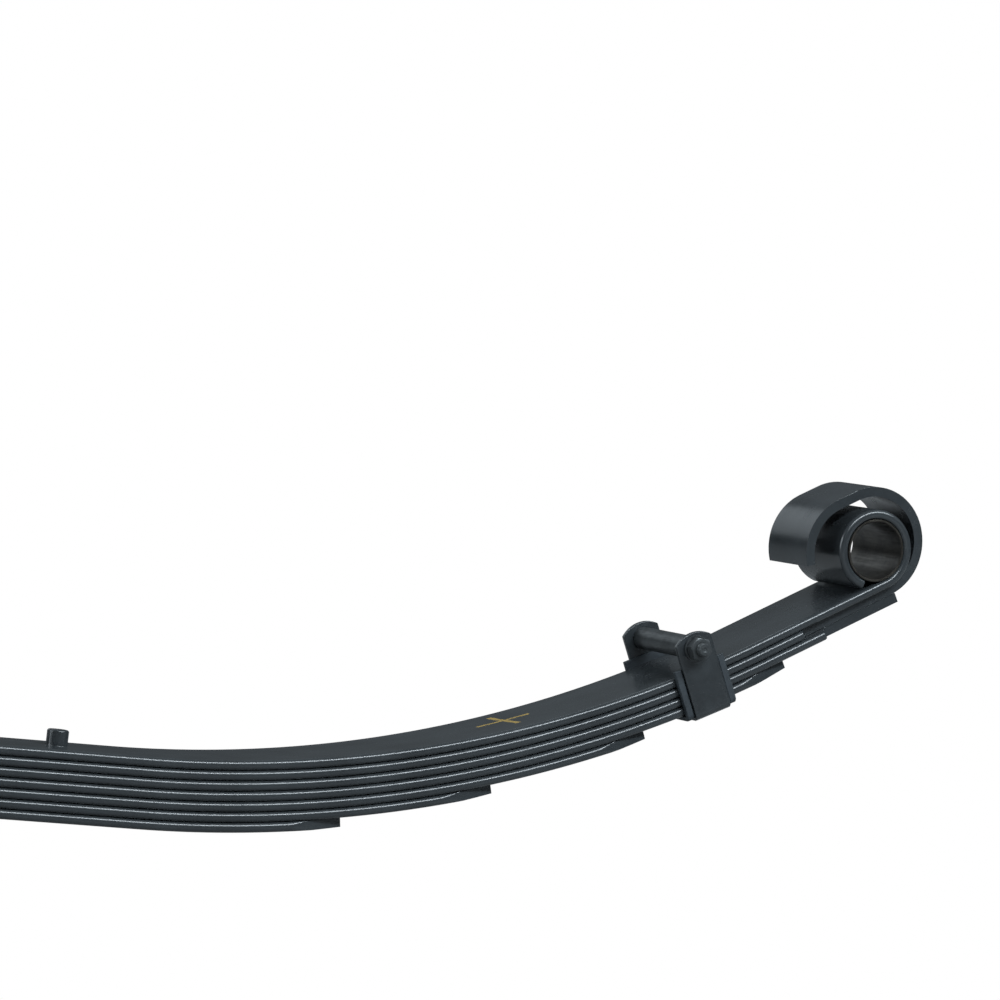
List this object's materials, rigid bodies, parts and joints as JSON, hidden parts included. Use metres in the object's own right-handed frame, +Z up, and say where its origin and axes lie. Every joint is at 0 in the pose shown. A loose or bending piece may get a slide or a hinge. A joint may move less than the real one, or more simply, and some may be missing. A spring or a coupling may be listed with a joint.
{
  "type": "leaf spring",
  "caption": "Multi-leaf semi-elliptic vehicle spring with rolled and wrapped eyes, steel eye sleeves, a dowel-headed centre bolt and bolted rebound clips.",
  "frame": {"origin": "on the centre bolt's axis, at the top face of the main leaf", "axes": "+X along the spring towards the front eye, +Y across the leaves, +Z up towards the eyes"},
  "size_m": [1.108, 0.0903, 0.2462],
  "materials": {
    "spring_paint": "dark blue-grey satin paint over shot-peened spring steel",
    "sleeve_steel": "bare drawn steel with a light brown-grey oxide",
    "clip_steel": "the same paint over plated fasteners",
    "liner": "matt moulded nylon, painted over with the spring"
  },
  "bodies": {
    "centre": {"main_leaf": "spring_paint", "second_leaf": "spring_paint", "third_leaf": "spring_paint", "fourth_leaf": "spring_paint", "fifth_leaf": "spring_paint", "sixth_leaf": "spring_paint", "seventh_leaf": "spring_paint", "centre_bolt": "spring_paint", "centre_nut": "spring_paint"},
    "front_arm": {"front_eye_sleeve": "sleeve_steel", "front_clip_strap": "spring_paint", "front_clip_liner": "liner", "front_clip_spacer": "clip_steel", "front_clip_bolt": "clip_steel", "front_clip_washer": "clip_steel", "front_clip_nut": "clip_steel", "front_clip_rivet": "clip_steel"},
    "rear_arm": {"rear_eye_sleeve": "sleeve_steel", "rear_clip_strap": "spring_paint", "rear_clip_liner": "liner", "rear_clip_spacer": "clip_steel", "rear_clip_bolt": "clip_steel", "rear_clip_washer": "clip_steel", "rear_clip_nut": "clip_steel", "rear_clip_rivet": "clip_steel"}
  },
  "joints": [
    {"name": "front_flex", "type": "hinge", "parent": "centre", "child": "front_arm", "pos_m": [0.19, 0, 0.0003], "axis": [0, 1, 0], "range_deg": [-5, 10], "stiffness_Nm_per_rad": 2500, "deforming": ["main_leaf", "second_leaf", "third_leaf", "fourth_leaf", "fifth_leaf", "sixth_leaf", "seventh_leaf"]},
    {"name": "rear_flex", "type": "hinge", "parent": "centre", "child": "rear_arm", "pos_m": [-0.19, 0, 0.0003], "axis": [0, -1, 0], "range_deg": [-5, 10], "stiffness_Nm_per_rad": 2500}
  ]
}
